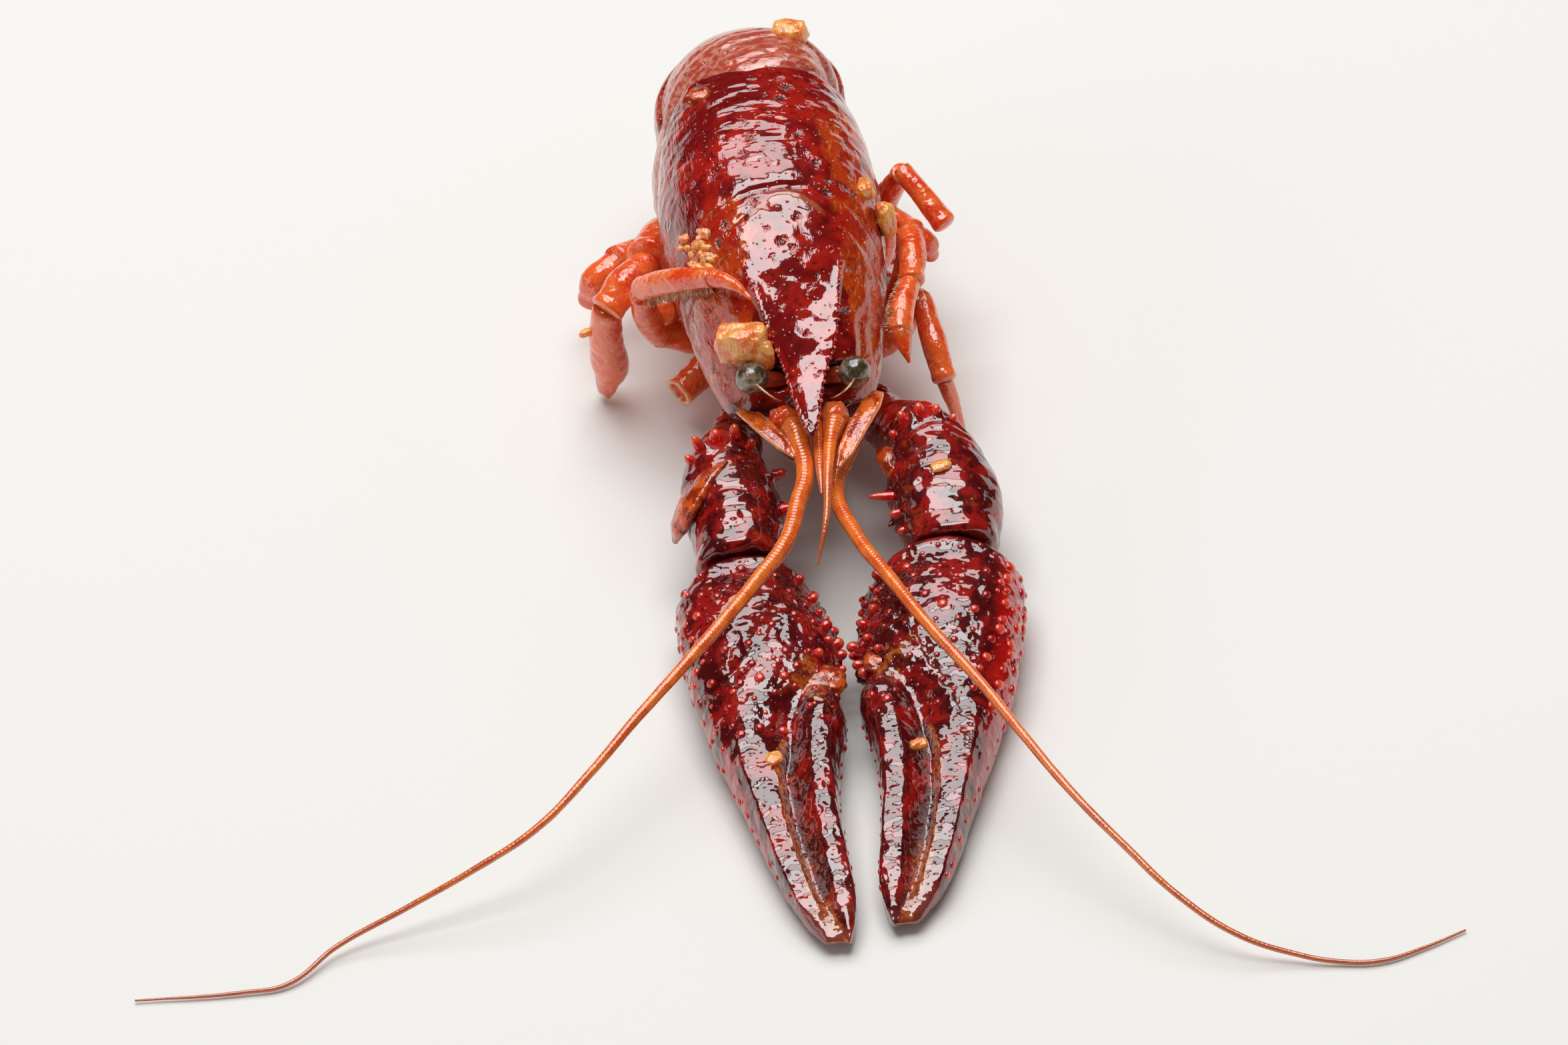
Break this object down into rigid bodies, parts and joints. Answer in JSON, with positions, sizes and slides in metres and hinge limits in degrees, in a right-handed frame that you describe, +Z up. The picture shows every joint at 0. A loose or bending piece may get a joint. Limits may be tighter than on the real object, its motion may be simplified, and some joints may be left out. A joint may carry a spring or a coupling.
{
  "type": "cooked crayfish",
  "caption": "Whole cooked crayfish lying on its belly, tail curled under, claws stretched forward, antennae spread, with bits of garlic and sauce on its shell.",
  "frame": {"origin": "centre of the bounding box's base, on the table", "axes": "+Z up; the head points along -Y and the tail lies at +Y; the left claw as seen from the front is at -X"},
  "size_m": [0.143, 0.1446, 0.0349],
  "materials": {
    "carapace_shell": "glossy, oily",
    "tail_shell": "glossy, oily",
    "claw_shell": "glossy, knobbly",
    "leg_shell": "satin",
    "feeler": "satin",
    "belly": "soft satin",
    "eye": "wet gloss"
  },
  "bodies": {
    "root": {"abdomen_1": "tail_shell", "abdomen_2": "tail_shell", "abdomen_3": "tail_shell", "abdomen_4": "tail_shell", "abdomen_5": "tail_shell", "abdomen_6": "tail_shell", "antenna_left": "feeler", "antenna_right": "feeler", "antennal_scale_left": "feeler", "antennal_scale_right": "feeler", "antennule_left": "feeler", "antennule_right": "feeler", "carapace": "carapace_shell", "carpus_left": "claw_shell", "carpus_right": "claw_shell", "eye_left": "eye", "eye_right": "eye", "ischium_left": "claw_shell", "ischium_right": "claw_shell", "leg_left_1": "leg_shell", "leg_left_2": "leg_shell", "leg_left_3": "leg_shell", "leg_left_4": "leg_shell", "leg_right_1": "leg_shell", "leg_right_2": "leg_shell", "leg_right_3": "leg_shell", "leg_right_4": "leg_shell", "maxilliped_left": "belly", "maxilliped_right": "belly", "merus_left": "claw_shell", "merus_right": "claw_shell", "moving_finger_left": "claw_shell", "moving_finger_right": "claw_shell", "palm_left": "claw_shell", "palm_right": "claw_shell", "telson": "tail_shell", "underside": "belly", "uropod_inner_left": "tail_shell", "uropod_inner_right": "tail_shell", "uropod_outer_left": "tail_shell", "uropod_outer_right": "tail_shell"}
  },
  "joints": []
}
